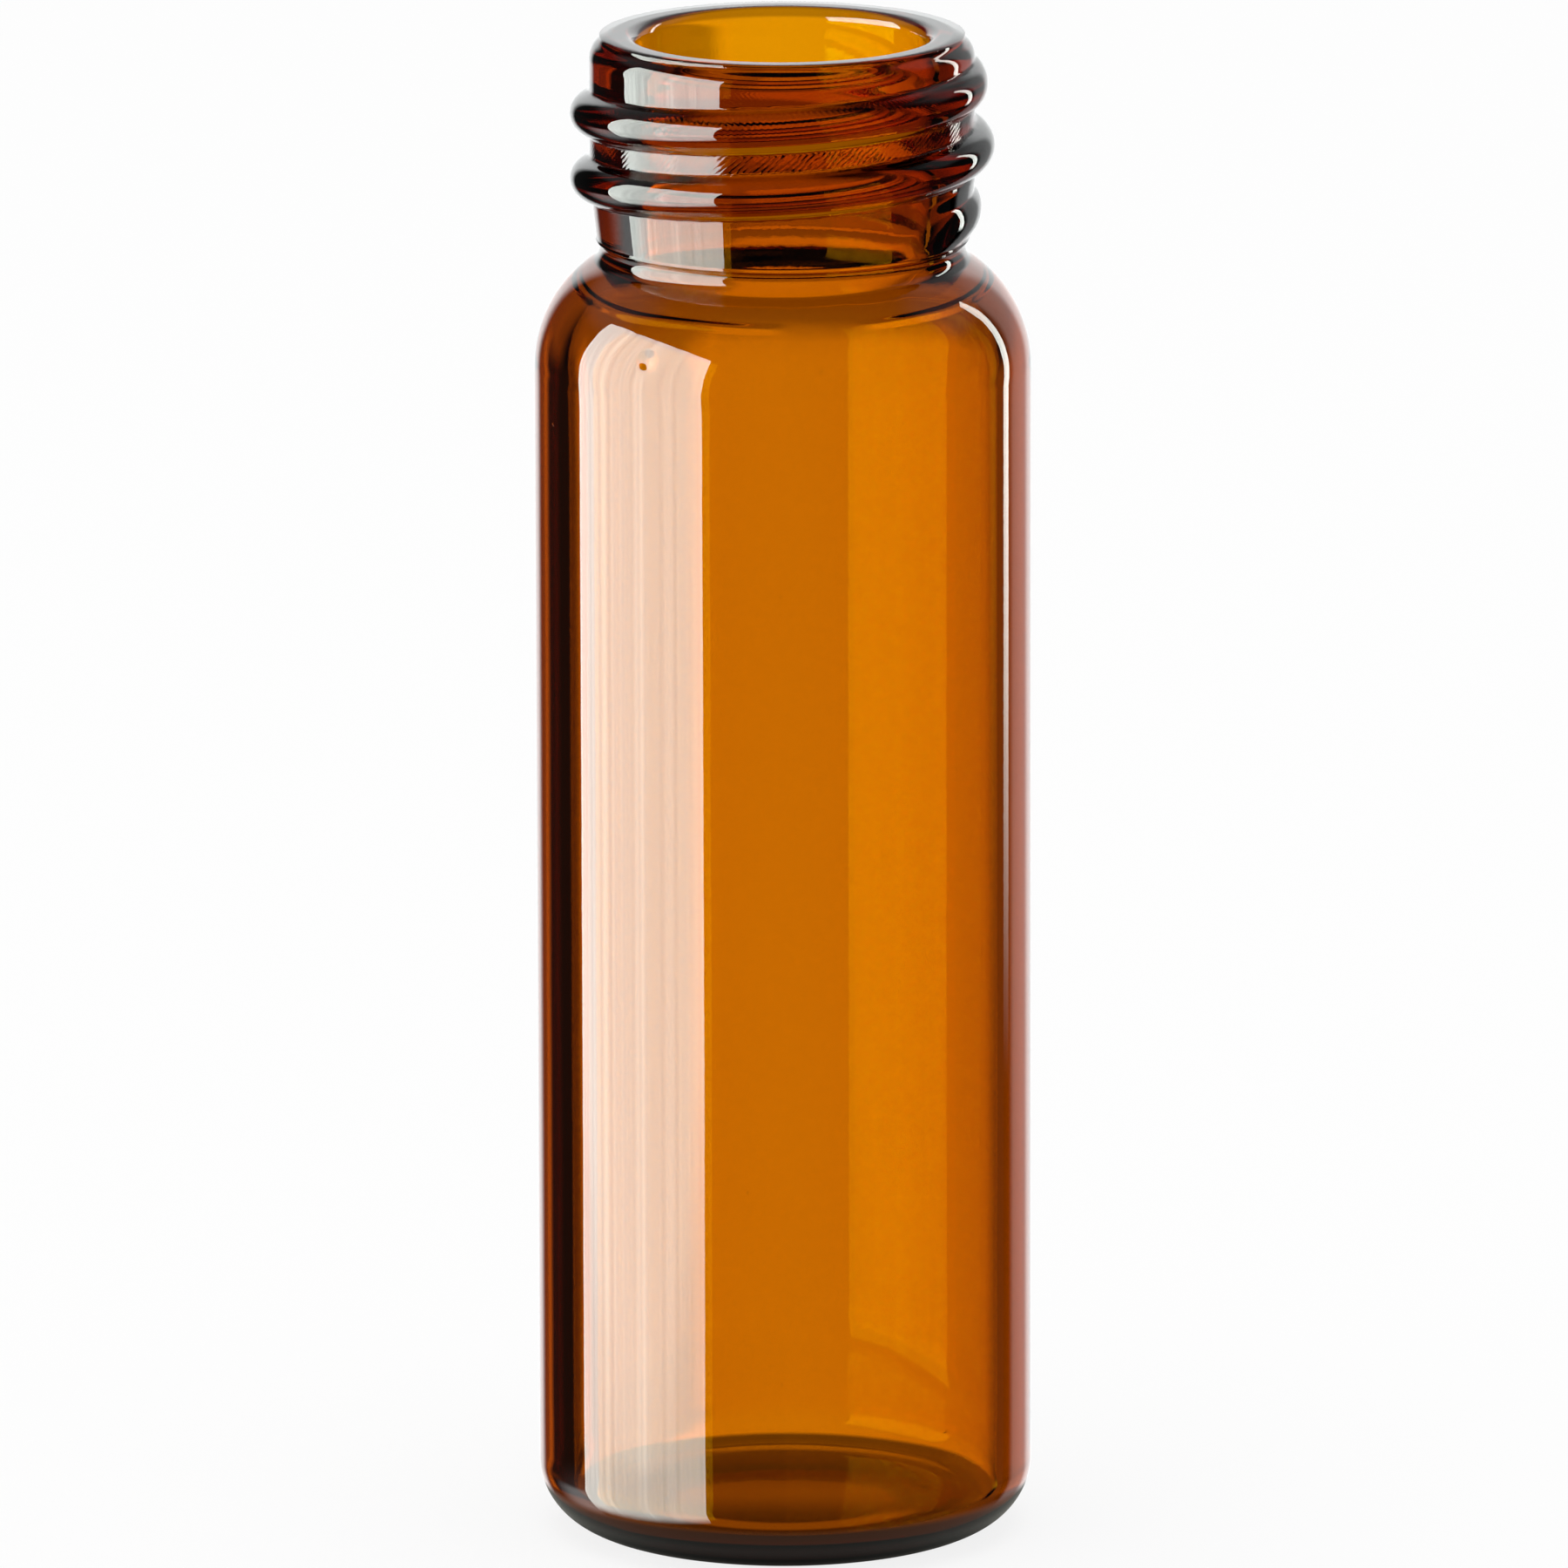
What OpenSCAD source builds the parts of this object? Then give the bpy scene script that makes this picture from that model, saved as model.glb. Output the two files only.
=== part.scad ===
// Amber glass sample vial, 4 ml, with a 13 mm screw finish.
// One piece of tubing glass: thin straight wall, rolled shoulder, neck with a
// raised screw thread, fire-polished rim and a dished foot. Millimetres, +Z up,
// origin at the middle of the ring that the vial stands on.

/* [Body] */
// Outside diameter of the tube
body_d = 14.65; // [13:0.05:18]
// Height from the standing ring to the top of the rim
total_h = 45; // [32:0.5:80]
// Thickness of the tube wall
wall_t = 1; // [0.6:0.05:1.3]

/* [Foot] */
// Radius of the rounded heel between the wall and the standing ring
heel_r = 2; // [1.2:0.1:3]
// Thickness of the floor at its edge, above the standing ring
floor_t = 1; // [0.9:0.1:2.5]
// Radius in the corner between the floor and the inside wall
floor_r = 0.8; // [0.6:0.1:2.4]
// Rise of the floor inside, from its edge to its middle
dome_h = 0.4; // [0.1:0.05:0.6]
// Width of the flat ring that the vial stands on
ring_w = 0.7; // [0.4:0.1:1.5]
// Height of the dish pressed up under the floor
dish_h = 0.4; // [0.2:0.05:0.7]

/* [Shoulder] */
// Radius of the round shoulder, on the outside
shoulder_r = 3.8; // [2.8:0.1:4.4]
// Radius of the hollow between the shoulder and the neck
crease_r = 0.45; // [0.15:0.05:0.8]
// Radius inside, where the bore opens into the body
throat_r = 0.8; // [0.4:0.1:1.2]

/* [Neck] */
// Height of the neck, from the crease above the shoulder to the rim
neck_h = 6.35; // [6:0.05:12]
// Diameter of the neck between the turns of the thread
neck_d = 11.35; // [11:0.05:11.8]
// Diameter at the bottom of the crease, the narrowest place on the outside
waist_d = 10.8; // [10.5:0.05:11]
// Diameter of the neck at its collar, the edge just above the crease
collar_d = 10.95; // [10.8:0.05:11.3]
// Height over which the neck widens from its collar
collar_h = 2.1; // [1:0.1:4]
// Diameter of the bore
bore_d = 8.5; // [7.5:0.05:8.9]
// Radius on the outside of the rim
rim_outer_r = 0.7; // [0.4:0.05:0.8]
// Radius on the inside of the rim
rim_inner_r = 0.4; // [0.2:0.05:0.5]

/* [Thread] */
// Diameter over the crests of the thread
thread_d = 12.5; // [12.3:0.05:13.1]
// Rise of the thread in one turn
thread_pitch = 1.95; // [1.8:0.05:2.2]
// Width of the raised thread where it leaves the neck
thread_w = 1.35; // [1.1:0.05:1.6]
// Height of the middle of the thread above the crease, where it starts
thread_foot = 0.7; // [0.6:0.05:1.2]
// Depth of the middle of the thread below the rim, where it ends
thread_head = 1.05; // [0.8:0.05:2]
// Direction in which the thread starts, anticlockwise from +X, in degrees
thread_start_a = 285; // [0:5:355]
// Arc over which the thread rises out of the neck, in degrees
thread_lead_in = 180; // [30:5:180]
// Arc over which the thread sinks back at its end, in degrees
thread_lead_out = 100; // [30:5:120]

/* [Hidden] */
$fn = 72;

amber = [0.55, 0.26, 0.05, 0.75];
body_r = body_d / 2;
inside_r = body_r - wall_t;
bore_r = bore_d / 2;
neck_r = neck_d / 2;
waist_r = waist_d / 2;
collar_r = collar_d / 2;
neck_z = total_h - neck_h;
inside_shoulder_r = shoulder_r - wall_t;
shoulder_x = body_r - shoulder_r;

// The crease is round: its circle touches the neck and the shoulder.
function touching_rise(shoulder, side_x, round_r) =
    sqrt((shoulder + round_r) ^ 2 - (side_x + round_r - shoulder_x) ^ 2);
shoulder_z = neck_z - touching_rise(shoulder_r, waist_r, crease_r);
crease_at = [waist_r + crease_r, neck_z];
throat_at = [
    bore_r + throat_r,
    shoulder_z + touching_rise(inside_shoulder_r, bore_r, throat_r)
];
shoulder_at = [shoulder_x, shoulder_z];
rim_inner_at = [bore_r + rim_inner_r, total_h - rim_inner_r];

// Point where the circle of centre c and radius r touches one of centre other.
function touch(c, r, other) = c + (other - c) * r / norm(other - c);

ring_inner_r = body_r - heel_r - ring_w;
dish_r = (ring_inner_r ^ 2 + dish_h ^ 2) / (2 * dish_h);

// The floor is domed inside: its circle touches the round in the corner.
corner_at = [inside_r - floor_r, floor_t + floor_r];
dome_r = (corner_at.x ^ 2 + dome_h ^ 2) / (2 * dome_h) - floor_r;
dome_at = [0, floor_t + dome_h - dome_r];

// Thread: a rounded bead swept up the neck, with its root sunk into the glass.
thread_arc = 360 * (neck_h - thread_foot - thread_head) / thread_pitch;
bead_step_a = 7.5;
bead_rings = ceil(thread_arc / bead_step_a);
bead_points = 9;
// depth of the root under the neck, least thickness, and fullness of the arch
bead_root = 0.35;
bead_least = 0.1;
bead_arch = 0.8;

// how far a cutting outline runs past what it cuts
cut_over = 0.5;

// Half outline of the glass outside, before it is hollowed. Each round corner
// is a circle, added or cut away, between two points of the straight outline.
module outer_outline() {
    difference() {
        union() {
            polygon([
                [0, 0],
                [body_r - heel_r, 0],
                [body_r, heel_r],
                [body_r, shoulder_z],
                touch(shoulder_at, shoulder_r, crease_at),
                crease_at,
                [collar_r, neck_z],
                [neck_r, neck_z + collar_h],
                [neck_r, total_h - rim_outer_r],
                [neck_r - rim_outer_r, total_h],
                [0, total_h]
            ]);
            // heel
            translate([body_r - heel_r, heel_r]) circle(heel_r);
            // shoulder
            intersection() {
                translate(shoulder_at) circle(shoulder_r);
                translate([0, shoulder_z]) square([body_r, shoulder_r]);
            }
            // rim
            translate([neck_r - rim_outer_r, total_h - rim_outer_r]) circle(rim_outer_r);
        }
        translate(crease_at) circle(crease_r);
    }
}

// Half outline of the space inside, open at the top.
module inner_outline() {
    difference() {
        union() {
            polygon([
                [0, floor_t + dome_h],
                touch(dome_at, dome_r, corner_at),
                [inside_r, corner_at.y],
                [inside_r, shoulder_z],
                touch(shoulder_at, inside_shoulder_r, throat_at),
                throat_at,
                [bore_r, throat_at.y],
                [bore_r, total_h - rim_inner_r],
                rim_inner_at,
                [rim_inner_at.x, total_h + cut_over],
                [0, total_h + cut_over]
            ]);
            // corner round the floor
            translate(corner_at) circle(floor_r);
            // inside of the shoulder
            intersection() {
                translate(shoulder_at) circle(inside_shoulder_r);
                translate([0, shoulder_z]) square([inside_r, inside_shoulder_r]);
            }
        }
        translate(dome_at) circle(dome_r);
        translate(throat_at) circle(throat_r);
        translate(rim_inner_at) circle(rim_inner_r);
    }
}

// Shallow round dish under the floor, inside the standing ring.
module dish_outline() {
    intersection() {
        translate([0, dish_h - dish_r]) circle(dish_r);
        square([ring_inner_r + cut_over, dish_h + cut_over]);
    }
}

// Share of its full height that the bead has at an angle from its start.
function bead_share(a) =
    let (up = min(1, a / thread_lead_in))
    let (down = min(1, (thread_arc - a) / thread_lead_out))
    sin(90 * up) * sin(90 * down);

// Radius of the neck at a height.
function neck_radius(z) =
    collar_r + (neck_r - collar_r) * max(0, min(1, (z - neck_z) / collar_h));

// One ring of the bead: an arched outside and a narrower root in the neck wall.
function bead_ring(i) =
    let (a = i / bead_rings * thread_arc)
    let (mid_z = neck_z + thread_foot + thread_pitch * a / 360)
    let (root = neck_radius(mid_z) - bead_root)
    let (height = bead_least + (thread_d / 2 - root - bead_least) * bead_share(a))
    let (dir = thread_start_a + a)
    [for (k = [0 : bead_points - 1])
        let (t = 180 * k / (bead_points - 1))
        let (r = root + height * sin(t) ^ bead_arch)
        let (z = mid_z - thread_w / 2 * cos(t))
        [r * cos(dir), r * sin(dir), z]
    ];

module thread() {
    rings = [for (i = [0 : bead_rings]) each bead_ring(i)];
    n = bead_points;
    sides = [for (i = [0 : bead_rings - 1]) for (k = [0 : n - 1])
        let (a = i * n + k)
        let (b = i * n + (k + 1) % n)
        each [[a, b, b + n], [a, b + n, a + n]]
    ];
    start_cap = [for (k = [n - 1 : -1 : 0]) k];
    end_cap = [for (k = [0 : n - 1]) bead_rings * n + k];
    polyhedron(points = rings, faces = concat(sides, [start_cap, end_cap]), convexity = 6);
}

module vial() {
    color(amber) {
        rotate_extrude() difference() {
            outer_outline();
            inner_outline();
            dish_outline();
        }
        thread();
    }
}

vial();
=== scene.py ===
import math

import bpy
import numpy as np
from mathutils import Matrix, Vector


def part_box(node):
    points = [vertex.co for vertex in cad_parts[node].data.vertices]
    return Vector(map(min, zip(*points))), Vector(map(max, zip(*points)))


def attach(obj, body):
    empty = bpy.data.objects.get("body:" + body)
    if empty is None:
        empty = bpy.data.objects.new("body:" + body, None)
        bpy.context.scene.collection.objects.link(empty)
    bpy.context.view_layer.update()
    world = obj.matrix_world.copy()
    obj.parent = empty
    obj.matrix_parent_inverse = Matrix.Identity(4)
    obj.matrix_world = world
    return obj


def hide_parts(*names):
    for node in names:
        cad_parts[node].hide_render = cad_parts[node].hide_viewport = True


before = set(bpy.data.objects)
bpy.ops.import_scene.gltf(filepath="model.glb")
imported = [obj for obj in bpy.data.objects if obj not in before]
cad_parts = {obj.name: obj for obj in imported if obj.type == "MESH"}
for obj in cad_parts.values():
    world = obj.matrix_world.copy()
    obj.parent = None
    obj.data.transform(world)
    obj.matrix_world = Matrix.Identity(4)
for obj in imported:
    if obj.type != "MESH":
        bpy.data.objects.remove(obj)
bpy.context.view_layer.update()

# ---------------------------------------------------------------- glass vial
# A small screw-neck sample vial made from drawn amber glass tube. The foot is
# closed and pressed flat in a flame, the shoulder is rolled in, and the neck
# and its coarse screw thread are pressed between rollers around a plug.
rim_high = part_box("vial")[1]

# tube and foot, in metres
body_r = rim_high.x
total_h = rim_high.z
wall_t = 0.0010
inside_r = body_r - wall_t
heel_r = 0.0020
floor_t = 0.0010
floor_r = 0.0008
dome_h = 0.0004
ring_w = 0.0007
dish_h = 0.0004

# shoulder, inside and outside
shoulder_r = 0.0038
inside_shoulder_r = shoulder_r - wall_t
shoulder_x = body_r - shoulder_r
crease_r = 0.00045
throat_r = 0.0008

# neck and rim; the collar's edge is rounded in small steps
neck_h = 0.00635
neck_z = total_h - neck_h
neck_r = 0.005675
waist_r = 0.0054
collar_r = 0.005475
collar_h = 0.0021
collar_round = 0.00002
edge_step = 0.00002
bore_r = 0.00425
rim_outer_r = 0.0007
rim_inner_r = 0.0004

# screw thread, with its angles in degrees
thread_r = 0.00625
thread_pitch = 0.00195
thread_w = 0.00135
thread_foot = 0.0007
thread_head = 0.00105
thread_start_a = 285.0
thread_lead_in = 180.0
thread_lead_out = 100.0
thread_laps = 3
thread_fillet = 0.00016
bead_root = 0.00035
bead_arch = 0.8

# columns of faces round the axis
columns = 288


def touching_rise(shoulder, side_x, round_r):
    """Height of a round's centre over the shoulder's where the two rounds touch."""
    return math.sqrt((shoulder + round_r) ** 2 - (side_x + round_r - shoulder_x) ** 2)


def bearing(centre, other):
    """Direction in degrees from one centre of the section to another."""
    return math.degrees(math.atan2(other[1] - centre[1], other[0] - centre[0]))


def rolled(centre, radius, start, end, steps):
    """Points of a round in the section, from one angle to another, in degrees."""
    points = []
    for step in range(steps + 1):
        turn = math.radians(start + (end - start) * step / steps)
        points.append((centre[0] + radius * math.cos(turn), centre[1] + radius * math.sin(turn)))
    return points


def straight(start, end, steps):
    """Points of a straight run in the section, without its two ends."""
    points = []
    for step in range(1, steps):
        share = step / steps
        points.append((start[0] + (end[0] - start[0]) * share, start[1] + (end[1] - start[1]) * share))
    return points


# the rounds of the section: their centres and the angles at which they meet
shoulder_z = neck_z - touching_rise(shoulder_r, waist_r, crease_r)
shoulder_at = (shoulder_x, shoulder_z)
crease_at = (waist_r + crease_r, neck_z)
throat_at = (bore_r + throat_r, shoulder_z + touching_rise(inside_shoulder_r, bore_r, throat_r))
heel_at = (body_r - heel_r, heel_r)
rim_at = (neck_r - rim_outer_r, total_h - rim_outer_r)
lip_at = (bore_r + rim_inner_r, total_h - rim_inner_r)
corner_at = (inside_r - floor_r, floor_t + floor_r)
dome_r = (corner_at[0] ** 2 + dome_h**2) / (2 * dome_h) - floor_r
dome_at = (0, floor_t + dome_h - dome_r)
ring_inner_r = heel_at[0] - ring_w
dish_r = (ring_inner_r**2 + dish_h**2) / (2 * dish_h)
dish_at = (0, dish_h - dish_r)
dish_span = math.degrees(math.asin(ring_inner_r / dish_r))
crease_turn = bearing(shoulder_at, crease_at)
collar_turn = math.degrees(math.acos((waist_r + crease_r - collar_r - collar_round) / crease_r))
throat_turn = bearing(throat_at, shoulder_at)

# the section runs from under the foot, up the outside, over the rim and down the inside
section = rolled(dish_at, dish_r, 90, 90 - dish_span, steps=10)[1:]
section += straight((ring_inner_r, 0), (heel_at[0], 0), steps=3)
section += rolled(heel_at, heel_r, -90, 0, steps=20)
section += straight((body_r, heel_r), (body_r, shoulder_z), steps=24)
section += rolled(shoulder_at, shoulder_r, 0, crease_turn, steps=30)
section += rolled(crease_at, crease_r, crease_turn + 180, 180 - collar_turn, steps=22)[1:]
crease_top_z = section[-1][1]
collar_z = crease_top_z + 3 * edge_step
neck_top_z = neck_z + collar_h
section.append((collar_r - 0.35 * collar_round, crease_top_z + edge_step))
section += straight((collar_r, collar_z - edge_step), (neck_r, neck_top_z), steps=40)
section += straight((neck_r, neck_top_z - 2 * edge_step), (neck_r, rim_at[1]), steps=66)
section += rolled(rim_at, rim_outer_r, 0, 90, steps=18)
section += straight((rim_at[0], total_h), (lip_at[0], total_h), steps=3)
section += rolled(lip_at, rim_inner_r, 90, 180, steps=10)
section += straight((bore_r, lip_at[1]), (bore_r, throat_at[1]), steps=12)
section += rolled(throat_at, throat_r, 180, 360 + throat_turn, steps=14)
section += rolled(shoulder_at, inside_shoulder_r, throat_turn + 180, 0, steps=22)[1:]
section += straight((inside_r, shoulder_z), (inside_r, corner_at[1]), steps=16)
section += rolled(corner_at, floor_r, 0, bearing(corner_at, dome_at), steps=18)
section += rolled(dome_at, dome_r, bearing(dome_at, corner_at), 90, steps=12)[1:-1]
section = np.array(section)
rows = len(section)

# the thread swells the outside of the neck lap by lap, with a small fillet
thread_arc = 360 * (neck_h - thread_foot - thread_head) / thread_pitch
turns = np.radians(np.arange(columns) * 360 / columns)
along = (np.degrees(turns) - thread_start_a) % 360
radii = np.repeat(section[:, :1], columns, axis=1)
heights = np.repeat(section[:, 1:], columns, axis=1)
outside = (heights > collar_z - 1.5 * edge_step) & (radii > neck_r - rim_outer_r)
for lap in range(thread_laps):
    arc = along + 360 * lap
    share = np.sin(np.radians(90 * np.clip(arc / thread_lead_in, 0, 1)))
    share = share * np.sin(np.radians(90 * np.clip((thread_arc - arc) / thread_lead_out, 0, 1)))
    bead_z = neck_z + thread_foot + thread_pitch * arc / 360
    bead_base = np.clip((bead_z - neck_z) / collar_h, 0, 1) * (neck_r - collar_r) + collar_r - bead_root
    bead_high = (thread_r - bead_base) * share
    offset = np.clip(1 - (2 * (heights - bead_z) / thread_w) ** 2, 0, 1)
    bead = bead_base + bead_high * offset ** (bead_arch / 2)
    blend = np.clip(0.5 + (bead - radii) / (2 * thread_fillet), 0, 1)
    joined = radii + (bead - radii) * blend + thread_fillet * blend * (1 - blend)
    radii = np.where(outside & (share > 0), np.maximum(joined, radii), radii)

points = np.stack([radii * np.cos(turns), radii * np.sin(turns), heights], axis=2).reshape(-1, 3)
points = np.vstack([points, [[0, 0, dish_h], [0, 0, floor_t + dome_h]]])
under_pole = rows * columns
floor_pole = under_pole + 1
last = (rows - 1) * columns
faces = []
for row in range(rows - 1):
    for column in range(columns):
        beside = (column + 1) % columns
        low = row * columns
        high = low + columns
        faces.append((low + column, low + beside, high + beside, high + column))
for column in range(columns):
    beside = (column + 1) % columns
    faces.append((under_pole, beside, column))
    faces.append((floor_pole, last + column, last + beside))

vial_mesh = bpy.data.meshes.new("glass_vial")
vial_mesh.from_pydata(points.tolist(), [], faces)
vial_mesh.validate()
vial_mesh.shade_smooth()
glass_vial = bpy.data.objects.new("glass_vial", vial_mesh)
bpy.context.scene.collection.objects.link(glass_vial)


class Value:
    """A socket that takes part in plain Python sums."""

    def __init__(self, tree, socket):
        self.tree = tree
        self.socket = socket

    def other(self, name):
        """Another output of the same node."""
        return Value(self.tree, self.socket.node.outputs[name])

    def sum_node(self, operation, first, second=None):
        sockets = {0: first} if second is None else {0: first, 1: second}
        return self.tree.node("ShaderNodeMath", {"operation": operation}, sockets)

    def __add__(self, other):
        return self.sum_node("ADD", self, other)

    def __radd__(self, other):
        return self.sum_node("ADD", other, self)

    def __sub__(self, other):
        return self.sum_node("SUBTRACT", self, other)

    def __rsub__(self, other):
        return self.sum_node("SUBTRACT", other, self)

    def __mul__(self, other):
        return self.sum_node("MULTIPLY", self, other)

    def __rmul__(self, other):
        return self.sum_node("MULTIPLY", other, self)

    def __gt__(self, other):
        return self.sum_node("GREATER_THAN", self, other)

    def __lt__(self, other):
        return self.sum_node("LESS_THAN", self, other)

    def __abs__(self):
        return self.sum_node("ABSOLUTE", self)


class Tree:
    """The nodes of one finish."""

    def __init__(self, owner):
        owner.use_nodes = True
        self.nodes = owner.node_tree.nodes
        self.links = owner.node_tree.links
        self.nodes.clear()

    def node(self, kind, settings=None, sockets=None, out=0):
        """A node with its settings, its sockets' values or links, and the output that is wanted."""
        made = self.nodes.new(kind)
        for name, value in (settings or {}).items():
            setattr(made, name, value)
        for name, value in (sockets or {}).items():
            if isinstance(value, Value):
                self.links.new(value.socket, made.inputs[name])
            else:
                made.inputs[name].default_value = value
        return Value(self, made.outputs[out]) if made.outputs else made

    def ramp(self, value, low, high):
        """0 under low, 1 over high, with a soft step between."""
        settings = {"interpolation_type": "SMOOTHSTEP", "clamp": True}
        return self.node("ShaderNodeMapRange", settings, {"Value": value, "From Min": low, "From Max": high})

    def fall(self, value, low, high):
        """1 under low, 0 over high, with a soft step between."""
        return 1 - self.ramp(value, low, high)

    def band(self, value, low, low_full, high_full, high):
        """1 from low_full to high_full, 0 under low and over high."""
        return self.ramp(value, low, low_full) * self.fall(value, high_full, high)

    def lit_by(self, colour, level):
        """A colour made stronger or weaker by a level."""
        return self.node("ShaderNodeVectorMath", {"operation": "SCALE"}, {0: colour, "Scale": level})


amber_glass = bpy.data.materials.new("amber_glass")
glass = Tree(amber_glass)
place = glass.node("ShaderNodeTexCoord", out="Object")
across = glass.node("ShaderNodeSeparateXYZ", sockets={"Vector": place})
depth = across.other("Y")
height = across.other("Z")
from_axis = glass.node("ShaderNodeMath", {"operation": "SQRT"}, {0: across * across + depth * depth})
around_front = glass.node("ShaderNodeMath", {"operation": "ARCTAN2"}, {0: across, 1: depth * -1})

# fine lines run up the tube where it was drawn, over slow waves
drawn_depth = 0.0000012
drawn_scale = (900, 900, 25)
swell_depth = 0.0000040
drawn_along = glass.node("ShaderNodeMapping", sockets={"Vector": place, "Scale": drawn_scale})
drawn_lines = glass.node("ShaderNodeTexNoise", sockets={"Vector": drawn_along, "Scale": 1, "Detail": 3})
swell = glass.node("ShaderNodeTexNoise", sockets={"Vector": place, "Scale": 220, "Detail": 1})
relief = drawn_lines * drawn_depth + swell * swell_depth

# the rolled shoulder is rippled and has one small round dent
ripple_depth = 0.000012
dent_depth = 0.00008
dent_middle = (-0.0040, -0.0059, 0.0364)
dent_r = 0.00042
on_shoulder = glass.band(height, 0.0340, 0.0362, 0.0378, 0.0384)
ripple = glass.node("ShaderNodeTexNoise", sockets={"Vector": place, "Scale": 650, "Detail": 1})
to_dent = {0: place, 1: dent_middle}
from_dent = glass.node("ShaderNodeVectorMath", {"operation": "DISTANCE"}, to_dent, out="Value")
dent = glass.fall(from_dent, 0.0, dent_r)
relief = relief + on_shoulder * (ripple * ripple_depth - dent * dent_depth)

# the rollers left a grain on the neck, and fine slanting marks between two turns of the thread
grain_depth = 0.0000010
flat_grain_depth = 0.0000030
mark_depth = 0.0000010
mark_step = 0.00013
mark_across = 0.62
mark_up = 0.78
mark_wander = 0.0004
on_neck = glass.band(height, 0.0386, 0.0390, 0.0438, 0.0444)
off_thread = glass.fall(from_axis, 0.00570, 0.00585)
mid_flat = glass.band(height, 0.0413, 0.0416, 0.0427, 0.0430)
grain = glass.node("ShaderNodeTexNoise", sockets={"Vector": place, "Scale": 5200, "Detail": 2})
slant = around_front * neck_r * mark_across - height * mark_up + swell * mark_wander
marks = glass.node("ShaderNodeMath", {"operation": "SINE"}, {0: slant * (2 * math.pi / mark_step)})
pressed = grain * (mid_flat * flat_grain_depth + grain_depth) + mid_flat * marks * mark_depth
relief = relief + on_neck * off_thread * pressed

# a few small specks stand on the surface
speck_depth = 0.000006
speck_share = 0.07
cells = glass.node("ShaderNodeTexVoronoi", sockets={"Vector": place, "Scale": 900})
chance = glass.node("ShaderNodeSeparateColor", sockets={"Color": cells.other("Color")})
speck = glass.fall(cells, 0.03, 0.07) * (chance > 1 - speck_share)

# inside the shoulder the plug left a fine uneven edge round the throat
edge_depth = 0.000035
edge_r = 0.00540
edge_w = 0.00014
edge_wander = 0.0002
gap_turn = 0.2
throat_edge = glass.fall(abs(from_axis - edge_r - swell * edge_wander), 0.0, edge_w)
throat_edge = throat_edge * glass.band(height, 0.0366, 0.0369, 0.0374, 0.0376)
throat_edge = throat_edge * glass.ramp(abs(around_front - gap_turn), 0.15, 0.5)
relief = relief + speck * speck_depth + throat_edge * edge_depth

glass_ior = 1.52
amber_pass = (0.934, 0.8125, 0.02, 1)
amber_density = 5600
bump = glass.node("ShaderNodeBump", sockets={"Strength": 1.0, "Distance": 1.0, "Height": relief})
finish = glass.node(
    "ShaderNodeBsdfPrincipled",
    sockets={
        "Base Color": (1, 1, 1, 1),
        "Roughness": 0.0,
        "IOR": glass_ior,
        "Transmission Weight": 1.0,
        "Normal": bump,
    },
)
tint = glass.node("ShaderNodeVolumeAbsorption", sockets={"Color": amber_pass, "Density": amber_density})
glass.node("ShaderNodeOutputMaterial", sockets={"Surface": finish, "Volume": tint})
vial_mesh.materials.append(amber_glass)
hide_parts("vial")
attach(glass_vial, "root")

# --------------------------------------------------------------- plain floor
# A plain pale table top, a flat sheet just under the foot. It is white where
# nothing stands in its light and takes a faint shadow. Under the foot it glows
# with painted shade and light, lighter towards the back.
floor_half = 0.6
floor_drop = 0.00002
floor_grey = (0.85, 0.85, 0.85, 1)
shadow_share = 0.15
foot_tint = (1.0, 1.0, 0.9)
foot_level = 0.26
dish_front = -0.17
dish_rise = 0.38
ring_middle = -0.13
ring_slope = 14
front_line_gain = 0.4
through_gain = 0.25
floor_mesh = bpy.data.meshes.new("table_top")
quarters = ((-1, -1), (1, -1), (1, 1), (-1, 1))
floor_corners = [(x * floor_half, y * floor_half, -floor_drop) for x, y in quarters]
floor_mesh.from_pydata(floor_corners, [], [(0, 1, 2, 3)])
table_top = bpy.data.objects.new("table_top", floor_mesh)
bpy.context.scene.collection.objects.link(table_top)
table_finish = bpy.data.materials.new("table_finish")
table = Tree(table_finish)
table_camera_ray = table.node("ShaderNodeLightPath")
table_gloss_ray = table_camera_ray.other("Is Glossy Ray")
table_glass_ray = table_camera_ray.other("Is Transmission Ray")
table_spot = table.node("ShaderNodeNewGeometry", out="Position")
away = table.node("ShaderNodeVectorMath", {"operation": "LENGTH"}, {0: table_spot}, out="Value")
table_parts = table.node("ShaderNodeSeparateXYZ", sockets={"Vector": table_spot})
backward = table_parts.other("Y")

# the camera sees it white, with a faint shadow
pale = table.node("ShaderNodeBsdfDiffuse", sockets={"Color": floor_grey})
white = table.node("ShaderNodeEmission", sockets={"Color": (1, 1, 1, 1), "Strength": 1.0})
white_share = table_camera_ray * (1 - shadow_share)
seen = table.node("ShaderNodeMixShader", sockets={0: white_share, 1: pale, 2: white})

# in and through the glass it shows only under the foot, as painted shade: dark in front, lighter behind
under_foot = table.fall(away, 0.0080, 0.0090)
under_dish = table.fall(away, 0.0030, 0.0035)
under_ring = (1 - under_dish) * table.fall(away, 0.0062, 0.0070)
dish_light = table.ramp(backward, -0.0024, 0.0010) * dish_rise + dish_front
# a painted light line along the front of the dark ring
front_line = table.fall(away, 0.0041, 0.0045) * table.fall(backward, -0.0026, -0.0010)
ring_light = backward * ring_slope + ring_middle + front_line * front_line_gain
# the painted shade glows by itself, set by place on the table; no lamp casts it
shade = under_dish * dish_light + under_ring * ring_light + foot_level
shade = shade * (table_glass_ray * through_gain + 1)
painted_foot_shade = table.node("ShaderNodeEmission", sockets={"Color": table.lit_by(foot_tint, shade)})
clear = table.node("ShaderNodeBsdfTransparent")
reflected = table.node("ShaderNodeMixShader", sockets={0: under_foot, 1: clear, 2: painted_foot_shade})
by_glass = table_gloss_ray + table_glass_ray > 0.5
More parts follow.
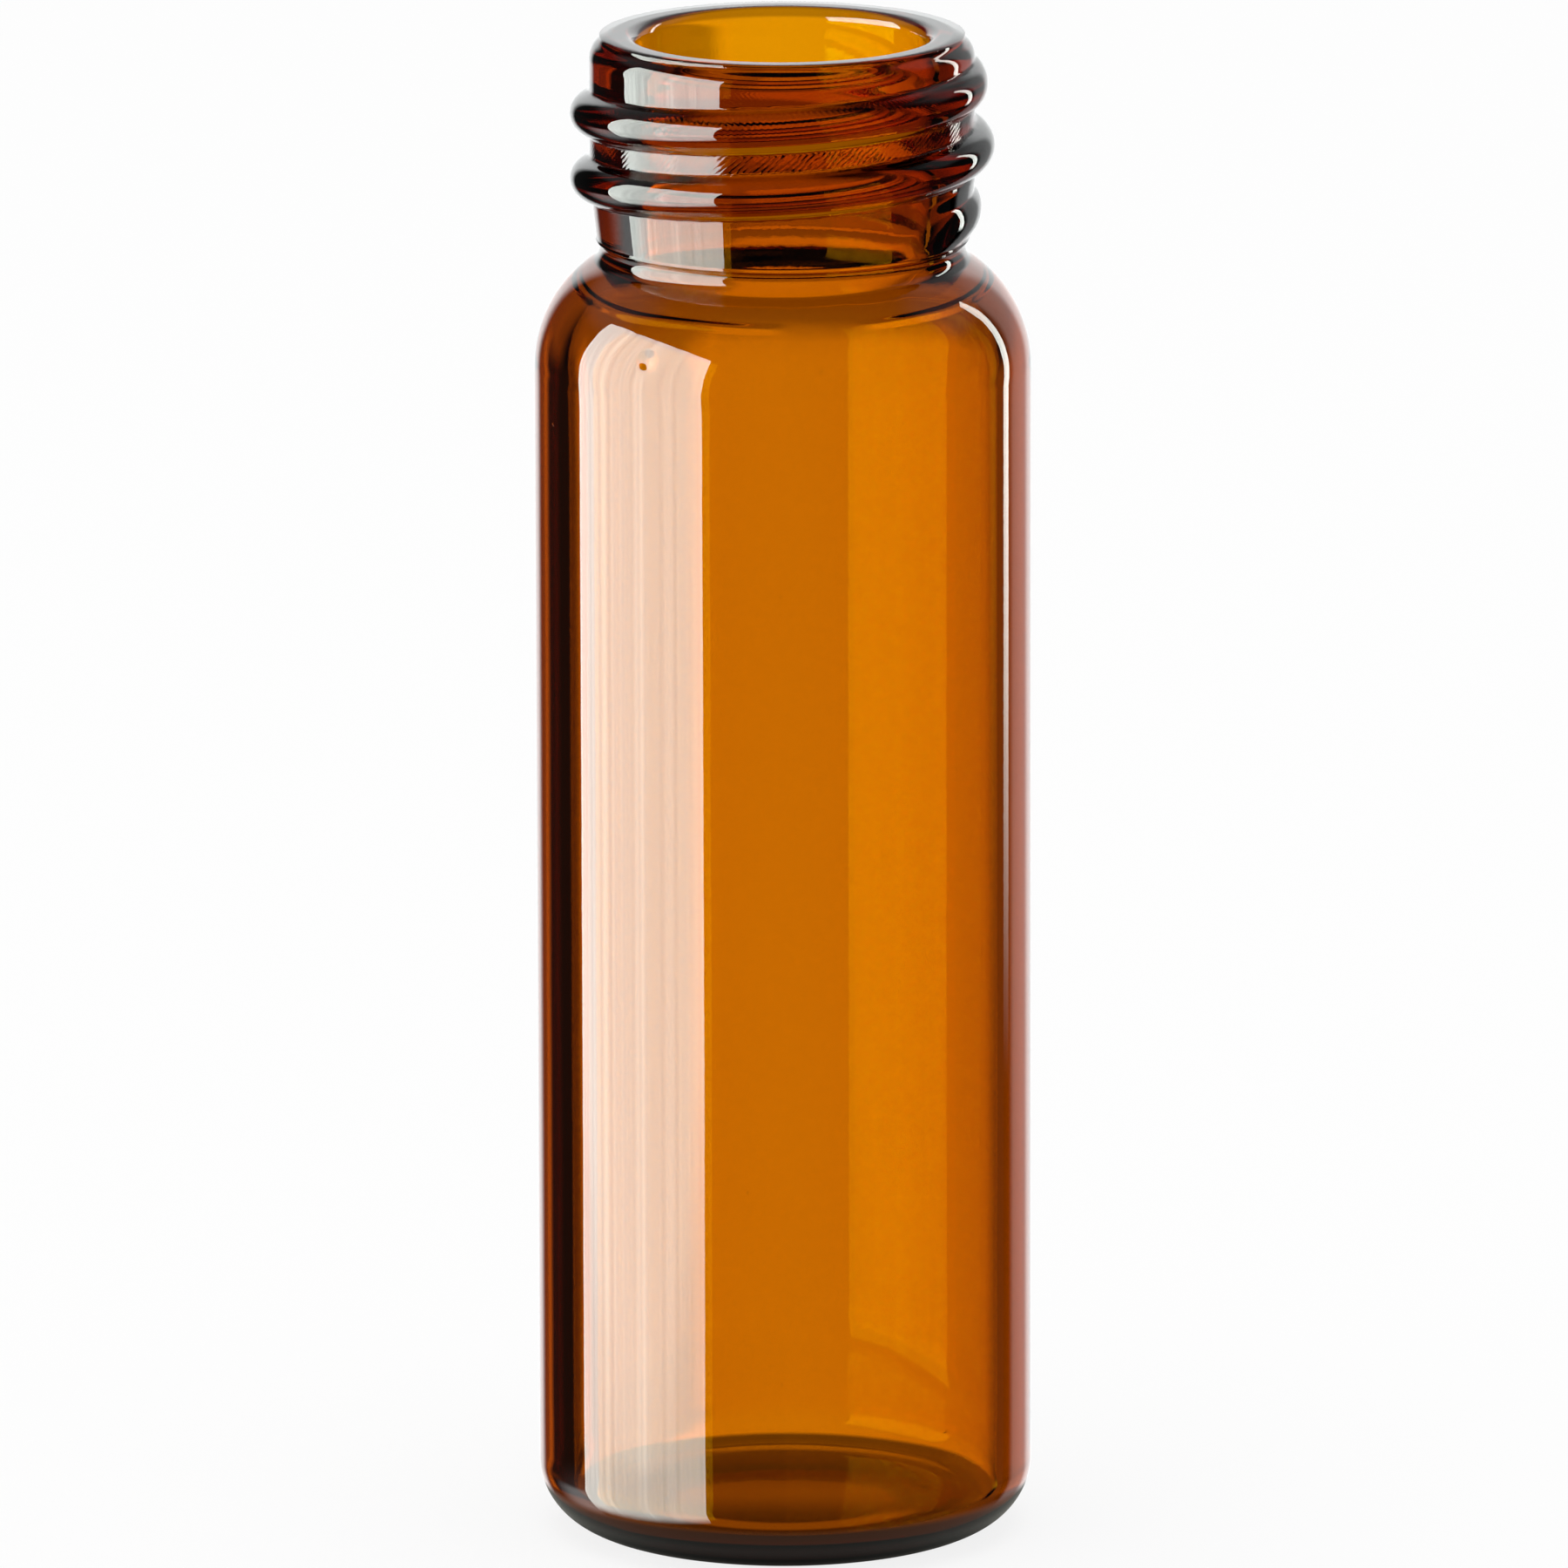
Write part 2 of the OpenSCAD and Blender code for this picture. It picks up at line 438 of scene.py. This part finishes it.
through = table.node("ShaderNodeMixShader", sockets={0: by_glass, 1: seen, 2: reflected})
table.node("ShaderNodeOutputMaterial", sockets={"Surface": through})
floor_mesh.materials.append(table_finish)

# -------------------------------------------------------------- studio light
# A white backdrop stands behind, with a grey panel left of its middle. A soft
# box on the left, a narrow strip behind on the right and a lamp above light
# the vial, and the rest of the room is dim. Angles are in degrees.
world = bpy.data.worlds.new("studio")
bpy.context.scene.world = world
studio = Tree(world)
camera_ray = studio.node("ShaderNodeLightPath")
gloss_ray = camera_ray.other("Is Glossy Ray")
glass_ray = camera_ray.other("Is Transmission Ray")
unbroken = camera_ray.other("Glossy Depth") < 0.5
toward = studio.node("ShaderNodeTexCoord", out="Generated")
rightward_part = studio.node("ShaderNodeSeparateXYZ", sockets={"Vector": toward})
onward_part = rightward_part.other("Y")
upward_part = rightward_part.other("Z")
around = studio.node("ShaderNodeMath", {"operation": "ARCTAN2"}, {0: rightward_part, 1: onward_part})
leftward = around * (-180 / math.pi)
rightward = around * (180 / math.pi)
rise = studio.node("ShaderNodeMath", {"operation": "ARCSINE"}, {0: upward_part}) * (180 / math.pi)
sink = rise * -1

# what the surface mirrors: the backdrop, a glow above it, and light spilt on the floor
backdrop_shine = 1.3
right_share = 0.4
high_share = 0.15
low_share = 0.15
glow_shine = 0.2
spill_shine = 1.4
spill_at = 70
room_shine = 0.02
sheet_left = studio.fall(leftward, 18, 28)
sheet_right = studio.fall(rightward, 21, 30) * (1 - right_share)
sheet_right = sheet_right + studio.fall(rightward, 44, 50) * right_share
sheet_high = studio.fall(rise, 20, 34) * (1 - high_share) + studio.fall(rise, 36, 60) * high_share
sheet_low = studio.fall(sink, 26, 54) * (1 - low_share) + low_share
backdrop = sheet_left * sheet_right * sheet_high * sheet_low
high_glow = studio.band(rise, 20, 32, 44, 60) * studio.fall(abs(rightward), 70, 90)
spill = studio.band(sink, 15, 19, 30, 46) * studio.fall(abs(leftward - spill_at), 4, 32)
shine = backdrop * backdrop_shine + high_glow * glow_shine + spill * spill_shine + room_shine

# what is seen through the glass: the backdrop straight behind, above and below that, the wall
# on the right, the floor, and the open room where no reflection lies between
straight_level = 1.384
upper_level = 0.584
lower_level = 0.826
wall_level = 0.762
floor_level = 0.508
open_level = 0.826
panel_shade = 0.45
left_shade = 0.98
right_shade = 0.67
grey_panel = studio.band(leftward, 2.2, 3.6, 16, 19)
straight_left = 1 - grey_panel * panel_shade - studio.ramp(leftward, 20, 27) * left_shade
straight_wide = straight_left * (1 - studio.ramp(rightward, 14, 46) * right_shade)
straight_on = studio.band(rise, -30, -22, -10, -1) * straight_wide
upper_wide = studio.fall(leftward, 28, 46) * studio.fall(rightward, 24, 50)
upper = studio.band(rise, -10, -1, 34, 46) * upper_wide
lower_wide = studio.fall(abs(rightward + 3), 8, 24)
lower = studio.band(rise, -58, -44, -30, -22) * lower_wide
right_wall = studio.band(rightward, 56, 66, 130, 150) * studio.band(rise, -45, -35, -4, 4)
straight_down = studio.fall(rise, -56, -46)
open_round = studio.ramp(abs(rightward), 56, 72) * studio.band(rise, -50, -35, 15, 35)
seen_through = straight_on * straight_level + upper * upper_level + lower * lower_level
seen_through = seen_through + right_wall * wall_level + straight_down * floor_level
seen_through = seen_through + unbroken * open_round * open_level

# the camera itself sees plain white, and the room lights the table evenly
room_light = 0.6
shine_tint = (0.98, 1, 1, 1)
mirror_ray = (1 - glass_ray) * gloss_ray
level = camera_ray + glass_ray * seen_through + mirror_ray * shine
tints = {0: mirror_ray, 6: (1, 1, 1, 1), 7: shine_tint}
studio_tint = studio.node("ShaderNodeMix", {"data_type": "RGBA"}, tints, out=2)
shown = studio.node("ShaderNodeBackground", sockets={"Color": studio.lit_by(studio_tint, level)})
lit = studio.node("ShaderNodeBackground", sockets={"Color": (1, 1, 1, 1), "Strength": room_light})
seen_rays = camera_ray + gloss_ray + glass_ray
chosen = studio.node("ShaderNodeMixShader", sockets={0: seen_rays, 1: lit, 2: shown})
studio.node("ShaderNodeOutputWorld", sockets={"Surface": chosen})


def soft_light(name, azimuth, span, distance, low, high, radiance, through_glass, fade, foot_share):
    """An upright glowing sheet that faces the vial and is seen only in the glass.

    Azimuth is clockwise from the camera's side, and span is how wide the sheet
    looks from the vial, both in degrees. Through_glass is the share of its glow
    in reflections inside the glass, fade the heights between which it starts,
    and foot_share how much of it is left in its lowest part.
    """
    straight_share = 0.08
    foot_fade = (-0.124, -0.106)
    fold_scale = (34, 34, 0.6)
    fold_depth = 0.9
    fold_floor = 0.55
    sheet_tint = (0.94, 1, 0.94, 1)
    inside_tint = (0.5, 1.1, 0.5, 1)
    turn = math.radians(azimuth)
    half_width = distance * math.tan(math.radians(span / 2))
    corners = []
    for sideways, z in ((-half_width, low), (half_width, low), (half_width, high), (-half_width, high)):
        x = -distance * math.sin(turn) - sideways * math.cos(turn)
        y = -distance * math.cos(turn) + sideways * math.sin(turn)
        corners.append((x, y, z))
    sheet_mesh = bpy.data.meshes.new(name)
    sheet_mesh.from_pydata(corners, [], [(0, 1, 2, 3)])
    sheet = bpy.data.objects.new(name, sheet_mesh)
    bpy.context.scene.collection.objects.link(sheet)
    glow_finish = bpy.data.materials.new(name)
    glow = Tree(glow_finish)
    sheet_ray = glow.node("ShaderNodeLightPath")
    sheet_glass_ray = sheet_ray.other("Is Transmission Ray")
    mirrored = sheet_ray.other("Glossy Depth") > 0.5
    sheet_spot = glow.node("ShaderNodeNewGeometry", out="Position")
    sheet_height = glow.node("ShaderNodeSeparateXYZ", sockets={"Vector": sheet_spot}).other("Z")
    upright = glow.node("ShaderNodeMapping", sockets={"Vector": sheet_spot, "Scale": fold_scale})
    folds = glow.node("ShaderNodeTexNoise", sockets={"Vector": upright, "Scale": 1, "Detail": 3})
    seen_share = mirrored * (through_glass - straight_share) + straight_share
    strength = (1 - sheet_glass_ray * (1 - seen_share)) * glow.ramp(sheet_height, fade[0], fade[1])
    lowest = glow.fall(sheet_height, foot_fade[0], foot_fade[1])
    strength = strength * (1 - lowest * (1 - foot_share)) * (folds * fold_depth + fold_floor) * radiance
    sheet_tints = {0: sheet_glass_ray * mirrored, 6: sheet_tint, 7: inside_tint}
    glow_tint = glow.node("ShaderNodeMix", {"data_type": "RGBA"}, sheet_tints, out=2)
    sheet_glow = glow.node("ShaderNodeEmission", sockets={"Color": glow.lit_by(glow_tint, strength)})
    glow.node("ShaderNodeOutputMaterial", sockets={"Surface": sheet_glow})
    glow_finish.cycles.emission_sampling = "NONE"
    sheet_mesh.materials.append(glow_finish)
    sheet.visible_camera = False
    sheet.visible_diffuse = False
    sheet.visible_shadow = False


soft_light(
    "soft_box_left",
    azimuth=73.0,
    span=71,
    distance=0.45,
    low=-0.40,
    high=0.376,
    radiance=10.2,
    through_glass=1.08,
    fade=(-0.38, -0.23),
    foot_share=0.80,
)
soft_light(
    "strip_right",
    azimuth=-126.5,
    span=5.0,
    distance=0.60,
    low=-0.30,
    high=0.417,
    radiance=8.0,
    through_glass=0.2,
    fade=(-0.130, -0.080),
    foot_share=1.0,
)

# the lamp above only lights the table and is not mirrored
top_size = 0.8
top_height = 0.9
top_lamp = bpy.data.lights.new("top_light", "AREA")
top_lamp.shape = "RECTANGLE"
top_lamp.size = top_size
top_lamp.size_y = top_size
top_lamp.energy = 5.0
top_light = bpy.data.objects.new("top_light", top_lamp)
top_light.location = (0.0, 0.0, top_height)
top_light.visible_camera = False
top_light.visible_glossy = False
top_light.visible_transmission = False
bpy.context.scene.collection.objects.link(top_light)

# -------------------------------------------------------------------- camera
# A long lens a little above the vial looks slightly down on it, and is turned
# a touch about its own axis.
camera_away = 0.58
camera_angle = math.radians(12.62)
camera_roll = math.radians(-0.136)
aim = Vector((0, 0, 0.0223))
lens = bpy.data.cameras.new("camera")
lens.sensor_width = 36
lens.lens = 449.98
lens.shift_x = 0.00012
lens.shift_y = 0.0030
lens.clip_end = 20
camera = bpy.data.objects.new("camera", lens)
bpy.context.scene.collection.objects.link(camera)
camera.location = aim + camera_away * Vector((0, -math.cos(camera_angle), math.sin(camera_angle)))
looking = (camera.location - aim).to_track_quat("Z", "Y").to_matrix().to_4x4()
rolled_over = Matrix.Rotation(camera_roll, 4, "Z")
camera.matrix_world = Matrix.Translation(camera.location) @ looking @ rolled_over
bpy.context.scene.camera = camera

bpy.context.scene.view_settings.view_transform = "Standard"
bpy.context.scene.cycles.max_bounces = 18
bpy.context.scene.cycles.transmission_bounces = 18
bpy.context.scene.cycles.glossy_bounces = 8
